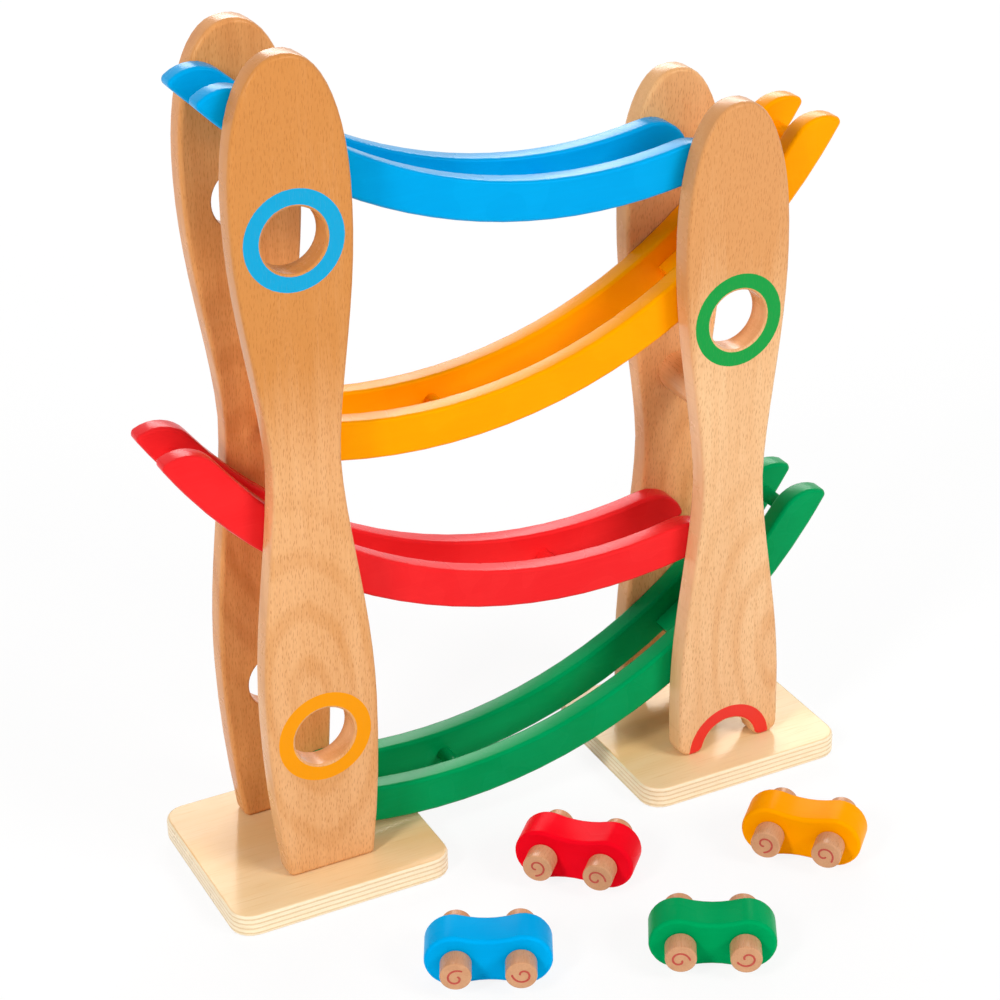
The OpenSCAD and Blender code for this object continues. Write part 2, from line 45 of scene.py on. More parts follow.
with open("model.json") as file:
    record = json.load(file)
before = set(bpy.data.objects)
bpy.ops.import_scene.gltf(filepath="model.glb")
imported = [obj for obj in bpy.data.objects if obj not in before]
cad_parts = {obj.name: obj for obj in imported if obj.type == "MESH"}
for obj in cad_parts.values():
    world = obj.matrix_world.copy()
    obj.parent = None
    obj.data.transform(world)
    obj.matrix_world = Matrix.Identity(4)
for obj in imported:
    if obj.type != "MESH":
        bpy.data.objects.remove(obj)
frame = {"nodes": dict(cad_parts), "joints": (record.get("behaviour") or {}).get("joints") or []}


# Small helpers for names, colours and node trees


class Side(Enum):
    """The two sides of the toy and of a car, with the direction in which each looks."""

    FRONT = -1
    BACK = 1


class Track(Enum):
    """The four tracks from the bottom up."""

    GREEN = "green"
    RED = "red"
    YELLOW = "yellow"
    BLUE = "blue"


class Grain(Enum):
    """Which way the wood's fibres run in a piece, as the turn that lays them along Z."""

    UPRIGHT = (0.0, 0.0, 0.0)
    ACROSS = (0.0, -90.0, 0.0)
    THROUGH = (90.0, 0.0, 0.0)


def linear(red: int, green: int, blue: int) -> Colour:
    """Turns a colour as seen on a screen into the light values that a shader takes.

    Args:
        red: Red, from 0 to 255.
        green: Green, from 0 to 255.
        blue: Blue, from 0 to 255.

    Returns:
        The colour with an alpha of 1.
    """

    def one(value: int) -> float:
        """Turns one channel, from 0 to 255, into light."""
        share = value / 255
        return share / 12.92 if share <= 0.04045 else ((share + 0.055) / 1.055) ** 2.4

    return one(red), one(green), one(blue), 1.0


class Sheet:
    """A node tree, with a short call for each kind of node that the finishes use."""

    def __init__(self, tree: bpy.types.NodeTree) -> None:
        """Takes the tree and clears it.

        Args:
            tree: The node tree of a material, a world or a group.
        """
        self.tree = tree
        tree.nodes.clear()

    def node(self, kind: str, **settings: object) -> bpy.types.Node:
        """Adds a node.

        Args:
            kind: Blender's name of the node type.
            **settings: Properties of the node.

        Returns:
            The node.
        """
        made = self.tree.nodes.new(kind)
        for name, value in settings.items():
            setattr(made, name, value)
        return made

    def feed(self, socket: Socket, value: object) -> None:
        """Links a socket into another, or sets a plain value on it.

        Args:
            socket: The input.
            value: An output socket, a number, a colour or a vector.
        """
        if isinstance(value, Socket):
            self.tree.links.new(value, socket)
        else:
            socket.default_value = value

    def fill_in(self, node: bpy.types.Node, **values: object) -> None:
        """Feeds the inputs of a node by name.

        Args:
            node: The node.
            **values: Inputs by name, with an underscore for a space.
        """
        for name, value in values.items():
            self.feed(node.inputs[name.replace("_", " ")], value)

    def maths(self, operation: str, *values: object, clamp: bool = False) -> Socket:
        """Adds a Math node.

        Args:
            operation: What it does.
            *values: Its inputs in order.
            clamp: Whether the result stays between 0 and 1.

        Returns:
            Its result.
        """
        made = self.node("ShaderNodeMath", operation=operation, use_clamp=clamp)
        for socket, value in zip(made.inputs, values):
            self.feed(socket, value)
        return made.outputs[0]

    def vector(self, operation: str, *values: object) -> Socket:
        """Adds a Vector Math node.

        Args:
            operation: What it does.
            *values: Its inputs in order.

        Returns:
            Its result, a number for LENGTH and a vector otherwise.
        """
        made = self.node("ShaderNodeVectorMath", operation=operation)
        for socket, value in zip(made.inputs, values):
            self.feed(socket, value)
        return made.outputs[1 if operation == "LENGTH" else 0]

    def blend(self, share: object, first: object, second: object) -> Socket:
        """Mixes two colours.

        Args:
            share: How much of the second shows.
            first: A colour.
            second: Another colour.

        Returns:
            The mixed colour.
        """
        made = self.node("ShaderNodeMix", data_type="RGBA")
        self.feed(made.inputs[0], share)
        self.feed(made.inputs[6], first)
        self.feed(made.inputs[7], second)
        return made.outputs[2]

    def span(
        self, value: object, low: float, high: float, to_low: float = 0.0, to_high: float = 1.0
    ) -> Socket:
        """Maps a range of values smoothly onto another, and clamps it.

        Args:
            value: The value.
            low: Where the range starts.
            high: Where it ends.
            to_low: What the start becomes.
            to_high: What the end becomes.

        Returns:
            The mapped value.
        """
        made = self.node("ShaderNodeMapRange", interpolation_type="SMOOTHSTEP")
        for socket, number in zip(made.inputs, (value, low, high, to_low, to_high)):
            self.feed(socket, number)
        return made.outputs[0]

    def noise(
        self, place: object, scale: float, detail: float = 2.0, rough: float = 0.5
    ) -> Socket:
        """Adds a Noise texture.

        Args:
            place: Where it is read.
            scale: Its scale.
            detail: Its octaves.
            rough: How strong the finer octaves are.

        Returns:
            A value around a half.
        """
        made = self.node("ShaderNodeTexNoise", noise_dimensions="3D")
        self.fill_in(made, Vector=place, Scale=scale, Detail=detail, Roughness=rough)
        return made.outputs[0]

    def dashes(self, place: object, scale: float, slim: float) -> tuple[Socket, Socket]:
        """Scatters dashes over a plane, one in each cell of a Voronoi texture.

        Args:
            place: Where it is read, with the plane along its first two numbers.
            scale: The cells for each metre.
            slim: How much slower the distance grows along the dash than across it.

        Returns:
            The distance from a dash's middle in metres, and a random number of the dash.
        """
        made = self.node("ShaderNodeTexVoronoi", voronoi_dimensions="2D", feature="F1")
        self.fill_in(made, Vector=place, Scale=scale)
        away = self.vector("SUBTRACT", place, made.outputs["Position"])
        split = self.node("ShaderNodeSeparateColor")
        self.feed(split.inputs[0], made.outputs["Color"])
        return self.vector("LENGTH", self.stretched(away, (1.0, slim, 0.0))), split.outputs[0]

    def parts(self, vector: object) -> tuple[Socket, ...]:
        """Splits a vector.

        Args:
            vector: The vector.

        Returns:
            Its X, Y and Z.
        """
        made = self.node("ShaderNodeSeparateXYZ")
        self.feed(made.inputs[0], vector)
        return tuple(made.outputs)

    def turned(self, place: object, turn: Triple, shift: Triple = ZERO) -> Socket:
        """Turns and shifts coordinates.

        Args:
            place: The coordinates.
            turn: Angles about X, Y and Z in degrees.
            shift: Added after the turn.

        Returns:
            The new coordinates.
        """
        made = self.node("ShaderNodeMapping", vector_type="POINT")
        radians = [math.radians(angle) for angle in turn]
        self.fill_in(made, Vector=place, Location=shift, Rotation=radians)
        return made.outputs[0]

    def stretched(self, place: object, stretch: Triple) -> Socket:
        """Multiplies coordinates; a texture runs along the axis with the small factor."""
        return self.vector("MULTIPLY", place, stretch)

    def place(self) -> Socket:
        """Returns the piece's own coordinates, which are the toy's at rest."""
        return self.node("ShaderNodeTexCoord").outputs["Object"]

    def normal(self) -> Socket:
        """Returns which way the surface looks, in the piece's own coordinates."""
        return self.node("ShaderNodeTexCoord").outputs["Normal"]

    def looked_at(self) -> Socket:
        """Tells the rays that show a surface from those that only bring its light.

        Returns:
            1 for rays from the camera, from a reflection or through glass, and 0 for others.
        """
        path = self.node("ShaderNodeLightPath")
        seen = self.maths("MAXIMUM", path.outputs["Is Camera Ray"], path.outputs["Is Glossy Ray"])
        return self.maths("MAXIMUM", seen, path.outputs["Is Transmission Ray"])


COLOUR = "NodeSocketColor"
NUMBER = "NodeSocketFloat"
VECTOR = "NodeSocketVector"


class Effect:
    """A shader node group that several materials use with their own values."""

    name = "effect"
    inputs: dict[str, str] = {}
    outputs: dict[str, str] = {}

    def __init__(self) -> None:
        """Makes the group with its sockets and fills it."""
        self.group = bpy.data.node_groups.new(self.name, "ShaderNodeTree")
        for way, sockets in (("INPUT", self.inputs), ("OUTPUT", self.outputs)):
            for name, kind in sockets.items():
                self.group.interface.new_socket(name, in_out=way, socket_type=kind)
        sheet = Sheet(self.group)
        source = sheet.node("NodeGroupInput")
        sink = sheet.node("NodeGroupOutput")
        for name, value in self.fill(sheet, source.outputs).items():
            sheet.feed(sink.inputs[name], value)

    def fill(self, sheet: Sheet, given: Sockets) -> dict[str, object]:
        """Builds the inside of the group.

        Args:
            sheet: The group's tree.
            given: The sockets that bring its inputs.

        Returns:
            What each output gets.
        """
        raise NotImplementedError

    def use(self, sheet: Sheet, **values: object) -> Sockets:
        """Places the group in a tree.

        Args:
            sheet: The tree.
            **values: Inputs by name, with an underscore for a space.

        Returns:
            The outputs.
        """
        made = sheet.node("ShaderNodeGroup", node_tree=self.group)
        sheet.fill_in(made, **values)
        return made.outputs


class BeechGrain(Effect):
    """Steamed beech with its fibres along Z and its heart near the Z axis."""

    name = "beech_grain"
    inputs = {
        "Place": VECTOR,
        "Pale": COLOUR,
        "Deep": COLOUR,
        "Fleck": COLOUR,
        "Fleck Share": NUMBER,
        "Figure": NUMBER,
        "Ring Width": NUMBER,
        "Ripe": NUMBER,
        "Facing": NUMBER,
    }
    outputs = {"Color": COLOUR, "Height": NUMBER}

    drift_scale = 24.0
    fibre_scale = 1500.0
    stripe_scale = 95.0
    heart_turn = (25.0, 3.0, 0.0)
    wander = 14 * MM
    figure_reach = (30 * MM, 75 * MM)
    fleck_turn = (90.0, 0.0, -5.0)
    fleck_shape = (0.08 * MM, 0.26 * MM)
    long_fleck_shift = (0.31, 0.17, 0.0)

    def figure(self, sheet: Sheet, place: object, width: object) -> Socket:
        """Draws the growth rings, which show only near the heart.

        Args:
            sheet: The group's tree.
            place: Where they are read.
            width: The width of a ring.

        Returns:
            Where the late wood of a ring lies.
        """
        drift = sheet.noise(sheet.stretched(place, (1.0, 1.0, 0.25)), self.drift_scale)
        core = sheet.stretched(sheet.turned(place, self.heart_turn), (1.0, 1.0, 0.0))
        reach = sheet.maths("MULTIPLY_ADD", drift, self.wander, sheet.vector("LENGTH", core))
        turns = sheet.maths("DIVIDE", sheet.maths("MULTIPLY", reach, math.tau), width)
        rings = sheet.span(sheet.maths("SINE", turns), -0.1, 1.0)
        return sheet.maths("MULTIPLY", rings, sheet.span(reach, *self.figure_reach, 1.0, 0.0))

    def flecks(self, sheet: Sheet, place: object) -> Socket:
        """Draws the short dark rays that a flat-sawn face of beech shows.

        Args:
            sheet: The group's tree.
            place: Where they are read.

        Returns:
            How much of a fleck shows.
        """
        flat = sheet.stretched(sheet.turned(place, self.fleck_turn), (1.0, 0.5, 0.0))
        moved = sheet.turned(flat, ZERO, self.long_fleck_shift)
        short, dark = sheet.dashes(flat, 620.0, 0.36)
        longer, darker = sheet.dashes(moved, 500.0, 0.26)
        shown = sheet.span(short, *self.fleck_shape, 1.0, 0.0)
        shown_longer = sheet.span(longer, *self.fleck_shape, 1.0, 0.0)
        first = sheet.maths("MULTIPLY", shown, sheet.span(dark, 0.05, 0.85, 0.2, 1.0))
        second = sheet.maths("MULTIPLY", shown_longer, sheet.span(darker, 0.2, 0.9, 0.0, 1.0))
        return sheet.maths("MAXIMUM", first, second)

    def fill(self, sheet: Sheet, given: Sockets) -> dict[str, object]:
        """Builds rings, fibres and flecks; see the base class for Args and Returns."""
        place = given["Place"]
        figure = self.figure(sheet, place, given["Ring Width"])
        figure = sheet.maths("MULTIPLY", figure, given["Figure"])
        fibre = sheet.noise(sheet.stretched(place, (1.0, 1.0, 0.03)), self.fibre_scale, 2.0, 0.6)
        stripes = sheet.noise(sheet.stretched(place, (1.0, 1.0, 0.06)), self.stripe_scale)
        fine = sheet.span(fibre, 0.3, 0.75, 0.0, 0.22)
        lines = sheet.maths("ADD", fine, sheet.span(stripes, 0.3, 0.7, 0.0, 0.28))
        figure_and_deepen = sheet.maths("ADD", figure, given["Ripe"])
        wood = sheet.blend(
            sheet.maths("ADD", figure_and_deepen, lines, clamp=True), given["Pale"], given["Deep"]
        )
        flecks = sheet.maths("MULTIPLY", self.flecks(sheet, place), given["Facing"])
        share = sheet.maths("MULTIPLY", flecks, given["Fleck Share"])
        raised = sheet.maths("MULTIPLY", fibre, 0.5)
        return {
            "Color": sheet.blend(share, wood, given["Fleck"]),
            "Height": sheet.maths("SUBTRACT", raised, sheet.maths("MULTIPLY", flecks, 0.5)),
        }


class PaintFilm(Effect):
    """Sprayed lacquer paint over wood, with the fibres showing through faintly along X."""

    name = "paint_film"
    inputs = {"Place": VECTOR, "Paint": COLOUR, "Thin": COLOUR}
    outputs = {"Color": COLOUR, "Height": NUMBER, "Roughness": NUMBER}

    fibre_scale = 900.0
    flow_scale = 40.0
    peel_scale = 800.0

    def fill(self, sheet: Sheet, given: Sockets) -> dict[str, object]:
        """Builds the film; see the base class for Args and Returns."""
        place = given["Place"]
        fibre = sheet.noise(sheet.stretched(place, (0.05, 1.0, 1.0)), self.fibre_scale, 3.0, 0.6)
        flow = sheet.noise(place, self.flow_scale, 1.0)
        peel = sheet.maths("MULTIPLY", sheet.noise(place, self.peel_scale, 1.0), 0.4)
        through = sheet.span(fibre, 0.4, 0.8, 0.0, 0.4)
        thin = sheet.maths("ADD", through, sheet.span(flow, 0.3, 0.7, 0.0, 0.6), clamp=True)
        return {
            "Color": sheet.blend(thin, given["Paint"], given["Thin"]),
            "Height": sheet.maths("ADD", sheet.maths("MULTIPLY", fibre, 0.4), peel),
            "Roughness": sheet.span(flow, 0.3, 0.7, 0.24, 0.3),
        }


class PaintedRing(Effect):
    """A flat ring of paint round an opening, on one outer face of a panel.

    Where the opening is an arch between two feet, the ring follows the rounded corners of the feet.
    """

    name = "painted_ring"
    inputs = {
        "Place": VECTOR,
        "Middle": VECTOR,
        "Hole": NUMBER,
        "Bare Edge": NUMBER,
        "Outer": NUMBER,
        "Foot Place": NUMBER,
        "Foot Corner": NUMBER,
        "Face": NUMBER,
        "Looks": NUMBER,
        "Wrap": NUMBER,
    }
    outputs = {"Mask": NUMBER}

    edge = (-0.08 * MM, 0.08 * MM)
    ragged = 0.3 * MM
    ragged_scale = 900.0

    def from_opening(self, sheet: Sheet, given: Sockets, radius: Socket, offset: Socket) -> Socket:
        """Measures how far the surface lies from the opening's edge.

        Args:
            sheet: The group's tree.
            given: The sockets that bring the group's inputs.
            radius: The distance from the opening's middle.
            offset: The way from the opening's middle.

        Returns:
            The distance, measured from a foot's rounded corner where one is nearest.
        """
        side, _, up = sheet.parts(offset)
        side = sheet.maths("ABSOLUTE", side)
        corner = sheet.node("ShaderNodeCombineXYZ")
        sheet.feed(corner.inputs[0], sheet.maths("SUBTRACT", side, given["Foot Place"]))
        sheet.feed(corner.inputs[2], sheet.maths("SUBTRACT", up, given["Foot Corner"]))
        corner_radius = sheet.vector("LENGTH", corner.outputs[0])
        from_corner = sheet.maths("SUBTRACT", given["Foot Corner"], corner_radius)
        below = sheet.maths("LESS_THAN", up, given["Foot Corner"])
        inward = sheet.maths("LESS_THAN", side, given["Foot Place"])
        in_corner = sheet.maths("MULTIPLY", inward, below)
        from_hole = sheet.maths("SUBTRACT", radius, given["Hole"])
        gap = sheet.maths("SUBTRACT", from_corner, from_hole)
        return sheet.maths("MULTIPLY_ADD", in_corner, gap, from_hole)

    def fill(self, sheet: Sheet, given: Sockets) -> dict[str, object]:
        """Builds the mask; see the base class for Args and Returns."""
        offset = sheet.vector("SUBTRACT", given["Place"], given["Middle"])
        offset = sheet.stretched(offset, (1.0, 0.0, 1.0))
        rough = sheet.noise(given["Place"], self.ragged_scale, 1.0)
        rough = sheet.maths("MULTIPLY_ADD", rough, self.ragged, -self.ragged / 2)
        radius = sheet.maths("ADD", sheet.vector("LENGTH", offset), rough)
        gap = self.from_opening(sheet, given, radius, offset)
        outside = sheet.span(sheet.maths("SUBTRACT", gap, given["Bare Edge"]), *self.edge)
        inside = sheet.span(sheet.maths("SUBTRACT", given["Outer"], radius), *self.edge)
        beyond = sheet.maths("SUBTRACT", sheet.parts(given["Place"])[1], given["Face"])
        beyond = sheet.maths("MULTIPLY", beyond, given["Looks"])
        on_face = sheet.maths("GREATER_THAN", sheet.maths("ADD", beyond, given["Wrap"]), 0.0)
        return {"Mask": sheet.maths("MULTIPLY", sheet.maths("MULTIPLY", inside, outside), on_face)}


class Plies(Effect):
    """The layers that show on the edge of plywood, stacked along Z."""

    name = "plies"
    inputs = {
        "Place": VECTOR,
        "Ply": NUMBER,
        "Long": COLOUR,
        "End": COLOUR,
        "Glue": COLOUR,
    }
    outputs = {"Color": COLOUR, "Height": NUMBER}

    sway = 0.4 * MM
    streak_scale = 2600.0
    pore_scale = 2800.0
    end_ply = (0.66, 0.92)
    soft = 0.02

    def fill(self, sheet: Sheet, given: Sockets) -> dict[str, object]:
        """Builds the layers; see the base class for Args and Returns."""
        place = given["Place"]
        sway = sheet.noise(sheet.stretched(place, (1.0, 1.0, 0.05)), 30.0)
        sway = sheet.maths("MULTIPLY_ADD", sway, self.sway, -self.sway / 2)
        level = sheet.maths("DIVIDE", sheet.maths("ADD", sheet.parts(place)[2], sway), given["Ply"])
        turn = sheet.maths("FRACT", sheet.maths("MULTIPLY", level, 0.5))
        low, high = self.end_ply
        starts = sheet.span(turn, low - self.soft, low + self.soft)
        stops = sheet.span(turn, high - self.soft, high + self.soft, 1.0, 0.0)
        ends = sheet.maths("MULTIPLY", starts, stops)
        from_middle = sheet.maths("ABSOLUTE", sheet.maths("SUBTRACT", turn, (low + high) / 2))
        rim = sheet.maths("ABSOLUTE", sheet.maths("SUBTRACT", from_middle, (high - low) / 2))
        glue = sheet.span(rim, 0.01, 0.05, 1.0, 0.0)
        streak = sheet.noise(sheet.stretched(place, (0.06, 0.06, 1.0)), self.streak_scale)
        streak = sheet.span(streak, 0.35, 0.75, 0.0, 0.6)
        pores = sheet.noise(place, self.pore_scale)
        long_ply = sheet.blend(streak, given["Long"], given["End"])
        end_ply = sheet.blend(sheet.span(pores, 0.4, 0.7, 0.0, 0.5), given["End"], given["Glue"])
        colour = sheet.blend(ends, long_ply, end_ply)
        colour = sheet.blend(sheet.maths("MULTIPLY", glue, 0.55), colour, given["Glue"])
        height = sheet.maths("SUBTRACT", sheet.maths("MULTIPLY", pores, ends), glue)
        return {"Color": colour, "Height": height}


class Handling(Effect):
    """The faint, uneven shine that handling and a rubbed-down finish leave."""

    name = "handling"
    inputs = {"Place": VECTOR, "Low": NUMBER, "High": NUMBER}
    outputs = {"Roughness": NUMBER, "Grime": NUMBER}

    smear_scale = 38.0
    fine_scale = 420.0

    def fill(self, sheet: Sheet, given: Sockets) -> dict[str, object]:
        """Builds the marks; see the base class for Args and Returns."""
        smear = sheet.noise(given["Place"], self.smear_scale, 4.0, 0.6)
        fine = sheet.noise(given["Place"], self.fine_scale)
        smeared = sheet.span(smear, 0.3, 0.7, 0.0, 0.7)
        share = sheet.maths("MULTIPLY_ADD", fine, 0.3, smeared, clamp=True)
        gap = sheet.maths("SUBTRACT", given["High"], given["Low"])
        return {
            "Roughness": sheet.maths("MULTIPLY_ADD", share, gap, given["Low"]),
            "Grime": sheet.span(smear, 0.55, 0.8),
        }


@dataclass
class Effects:
    """The shared effects, each made once."""

    beech: BeechGrain
    paint: PaintFilm
    ring: PaintedRing
    plies: Plies
    handling: Handling

    @classmethod
    def make(cls) -> "Effects":
        """Builds the shared node groups."""
        return cls(BeechGrain(), PaintFilm(), PaintedRing(), Plies(), Handling())


# Finishes


def new_sheet(name: str) -> tuple[bpy.types.Material, Sheet, bpy.types.Node]:
    """Starts a material.

    Args:
        name: Its name.

    Returns:
        The material, its tree and its Principled shader, already linked to the output.
    """
    material = bpy.data.materials.new(name)
    material.use_nodes = True
    sheet = Sheet(material.node_tree)
    shader = sheet.node("ShaderNodeBsdfPrincipled")
    output = sheet.node("ShaderNodeOutputMaterial")
    sheet.fill_in(output, Surface=shader.outputs[0])
    return material, sheet, shader


def bump(
    sheet: Sheet, shader: bpy.types.Node, height: object, distance: float, strength: float = 1.0
) -> None:
    """Gives a shader a bumpy surface.

    Args:
        sheet: The material's tree.
        shader: Its Principled shader.
        height: The height, about 0 to 1.
        distance: How deep a height of 1 is.
        strength: How strongly it shows.
    """
    made = sheet.node("ShaderNodeBump")
    sheet.fill_in(made, Distance=distance, Strength=strength, Height=height)
    sheet.fill_in(shader, Normal=made.outputs[0])


@dataclass(frozen=True)
class RingPaint:
    """One painted ring on a panel: where it is, its sizes and its colour."""

    middle: Triple
    colour: Colour
    hole: float
    bare_edge: float
    outer: float
    foot_place: float = 0.0
    foot_corner: float = 0.0
    wrap: float = 0.5 * MM


@dataclass(frozen=True)
class BeechFinish:
    """Lacquered beech, with painted rings where the piece has them."""

    name: str
    grain: Grain = Grain.UPRIGHT
    turn: float = 0.0
    heart: Triple = ZERO
    pale: Colour = linear(235, 179, 125)
    deep: Colour = linear(208, 138, 72)
    fleck: Colour = linear(172, 98, 42)
    fleck_share: float = 0.5
    figure: float = 0.26
    ring_width: float = 13 * MM
    # Between these two heights the colour leans further toward the deep tone, darker towards the
    # top.
    deepen_from: float = 1.0
    deepen_to: float = 2.0
    deepen_amount: float = 0.0
    shine: float = 0.4
    shine_colour: Colour = linear(160, 150, 130)
    rings: tuple[RingPaint, ...] = ()
    face: float = 0.0
    looks: Side = Side.FRONT

    def build(self, effects: Effects) -> bpy.types.Material:
        """Makes the material.

        Args:
            effects: The shared node groups.

        Returns:
            The material.
        """
        material, sheet, shader = new_sheet(self.name)
        place = sheet.place()
        along = sheet.turned(sheet.vector("SUBTRACT", place, self.heart), (0, 0, self.turn))
        along = sheet.turned(along, self.grain.value)
        normal = sheet.turned(sheet.turned(sheet.normal(), (0, 0, self.turn)), self.grain.value)
        across = sheet.maths("ABSOLUTE", sheet.parts(normal)[1])
        # How far the colour leans toward the deep tone, growing towards the top.
        deepen_share = sheet.span(sheet.parts(place)[2], self.deepen_from, self.deepen_to, 0.0, self.deepen_amount)
        wood = effects.beech.use(
            sheet,
            Place=along,
            Pale=self.pale,
            Deep=self.deep,
            Fleck=self.fleck,
            Fleck_Share=self.fleck_share,
            Figure=self.figure,
            Ring_Width=self.ring_width,
            Ripe=deepen_share,
            Facing=sheet.span(across, 0.3, 0.8, 0.15, 1.0),
        )
        worn = effects.handling.use(sheet, Place=place, Low=0.22, High=0.32)
        colour, rough = wood["Color"], worn["Roughness"]
        for ring in self.rings:
            mask = effects.ring.use(
                sheet,
                Place=place,
                Middle=ring.middle,
                Hole=ring.hole,
                Bare_Edge=ring.bare_edge,
                Outer=ring.outer,
                Foot_Place=ring.foot_place,
                Foot_Corner=ring.foot_corner,
                Face=self.face,
                Looks=float(self.looks.value),
                Wrap=ring.wrap,
            )["Mask"]
            bare = sheet.span(wood["Height"], -0.4, 0.4, 0.025, 0.0)
            colour = sheet.blend(mask, colour, sheet.blend(bare, ring.colour, wood["Color"]))
            rough = sheet.maths("MULTIPLY_ADD", mask, 0.06, rough)
        sheet.fill_in(shader, Base_Color=colour, Roughness=rough)
        sheet.fill_in(shader, Specular_IOR_Level=self.shine, Specular_Tint=self.shine_colour)
        bump(sheet, shader, wood["Height"], 0.1 * MM, 0.5)
        return material


@dataclass(frozen=True)
class PaintFinish:
    """Glossy paint on a wooden piece."""

    name: str
    paint: Colour
    thin: Colour
    turn: float = 0.0
    gloss: float = 0.2

    def build(self, effects: Effects) -> bpy.types.Material:
        """Makes the material.

        Args:
            effects: The shared node groups.

        Returns:
            The material.
        """
        material, sheet, shader = new_sheet(self.name)
        place = sheet.turned(sheet.place(), (0, 0, self.turn))
        film = effects.paint.use(sheet, Place=place, Paint=self.paint, Thin=self.thin)
        sheet.fill_in(shader, Base_Color=film["Color"], Roughness=film["Roughness"])
        sheet.fill_in(shader, Specular_IOR_Level=self.gloss, Specular_Tint=self.paint)
        bump(sheet, shader, film["Height"], 0.04 * MM, 0.35)
        return material


@dataclass(frozen=True)
class PlywoodFinish:
    """Lacquered birch plywood: a pale face veneer along X, and plies on the edges."""

    name: str
    shift: Triple = ZERO
    thickness: float = 12.5 * MM
    plies: int = 9
    shine: float = 0.2
    shine_colour: Colour = linear(255, 226, 190)

    def build(self, effects: Effects) -> bpy.types.Material:
        """Makes the material.

        Args:
            effects: The shared node groups.

        Returns:
            The material.
        """
        material, sheet, shader = new_sheet(self.name)
        place = sheet.turned(sheet.place(), ZERO, self.shift)
        layers = effects.plies.use(
            sheet,
            Place=place,
            Ply=self.thickness / self.plies,
            Long=linear(252, 236, 206),
            End=linear(240, 214, 170),
            Glue=linear(212, 174, 120),
        )
        cloud = sheet.noise(sheet.stretched(place, (0.22, 1.0, 1.0)), 30.0, 3.0)
        cloud = sheet.span(cloud, 0.3, 0.75)
        streak = sheet.noise(sheet.stretched(place, (0.05, 1.0, 1.0)), 900.0, 3.0, 0.6)
        veneer = sheet.blend(cloud, linear(246, 218, 172), linear(236, 196, 138))
        veneer = sheet.blend(sheet.span(streak, 0.5, 0.8, 0.0, 0.35), veneer, linear(218, 172, 112))
        flat = sheet.span(sheet.maths("ABSOLUTE", sheet.parts(sheet.normal())[2]), 0.8, 0.93)
        edge = sheet.maths("SUBTRACT", 1.0, flat)
        worn = effects.handling.use(sheet, Place=place, Low=0.1, High=0.2)
        colour = sheet.blend(flat, layers["Color"], veneer)
        rough = sheet.maths("MULTIPLY_ADD", edge, 0.15, worn["Roughness"])
        sheet.fill_in(shader, Base_Color=colour, Roughness=rough)
        sheet.fill_in(shader, Specular_IOR_Level=self.shine, Specular_Tint=self.shine_colour)
        lifted = sheet.maths("MULTIPLY", streak, flat)
        rise = sheet.maths("MULTIPLY_ADD", layers["Height"], edge, lifted)
        bump(sheet, shader, rise, 0.08 * MM, 0.5)
        return material


@dataclass(frozen=True)
class SteelFinish:
    """Zinc-plated steel of the screws."""

    name: str = "zinc_plated_steel"

    def build(self, effects: Effects) -> bpy.types.Material:
        """Makes the material.

        Args:
            effects: The shared node groups.

        Returns:
            The material.
        """
        material, sheet, shader = new_sheet(self.name)
        place = sheet.place()
        worn = effects.handling.use(sheet, Place=place, Low=0.25, High=0.45)
        colour = sheet.blend(worn["Grime"], linear(196, 197, 200), linear(160, 158, 150))
        sheet.fill_in(shader, Base_Color=colour, Roughness=worn["Roughness"], Metallic=1.0)
        bump(sheet, shader, sheet.noise(place, 3000.0), 0.02 * MM)
        return material


@dataclass(frozen=True)
class InkFinish:
    """The printed red-brown line on the wheels, with the wood's pores showing through."""

    name: str = "spiral_print"
    ink: Colour = linear(186, 62, 48)

    def build(self, effects: Effects) -> bpy.types.Material:
        """Makes the material.

        Args:
            effects: The shared node groups.

        Returns:
            The material.
        """
        material, sheet, shader = new_sheet(self.name)
        place = sheet.place()
        pores = sheet.noise(place, 2400.0)
        worn = effects.handling.use(sheet, Place=place, Low=0.4, High=0.6)
        bare = sheet.span(pores, 0.5, 0.75, 0.0, 0.5)
        colour = sheet.blend(bare, self.ink, linear(214, 130, 100))
        sheet.fill_in(shader, Base_Color=colour, Roughness=worn["Roughness"])
        bump(sheet, shader, pores, 0.03 * MM)
        return material


# Meshes

WELD_DISTANCE = 0.004 * MM
SHARP_ANGLE = 60.0
FLAT_ANGLE = 0.2


def smooth_shapes() -> bpy.types.NodeTree:
    """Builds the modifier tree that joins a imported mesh's split corners and rounds its shading.

    Returns:
        A geometry node group.
    """
    tree = bpy.data.node_groups.new("joined_corners", "GeometryNodeTree")
    tree.interface.new_socket("Geometry", in_out="INPUT", socket_type="NodeSocketGeometry")
    tree.interface.new_socket("Geometry", in_out="OUTPUT", socket_type="NodeSocketGeometry")
    sheet = Sheet(tree)
    source = sheet.node("NodeGroupInput")
    sink = sheet.node("NodeGroupOutput")
    weld = sheet.node("GeometryNodeMergeByDistance")
    sheet.fill_in(weld, Distance=WELD_DISTANCE)
    bare = sheet.node("GeometryNodeRemoveAttribute")
    sheet.fill_in(bare, Name="custom_normal")
    faces = sheet.node("GeometryNodeSetShadeSmooth", domain="FACE")
    sheet.fill_in(faces, Shade_Smooth=True)
    angle = sheet.node("GeometryNodeInputMeshEdgeAngle")
    blunt = sheet.maths("LESS_THAN", angle.outputs["Unsigned Angle"], math.radians(SHARP_ANGLE))
    edges = sheet.node("GeometryNodeSetShadeSmooth", domain="EDGE")
    sheet.fill_in(edges, Shade_Smooth=blunt)
    chain = (source.outputs[0], weld, bare, faces, edges)
    previous = chain[0]
    for step in chain[1:]:
        sheet.feed(step.inputs["Geometry"], previous)
        previous = step.outputs["Geometry"]
    sheet.feed(sink.inputs[0], previous)
    return tree


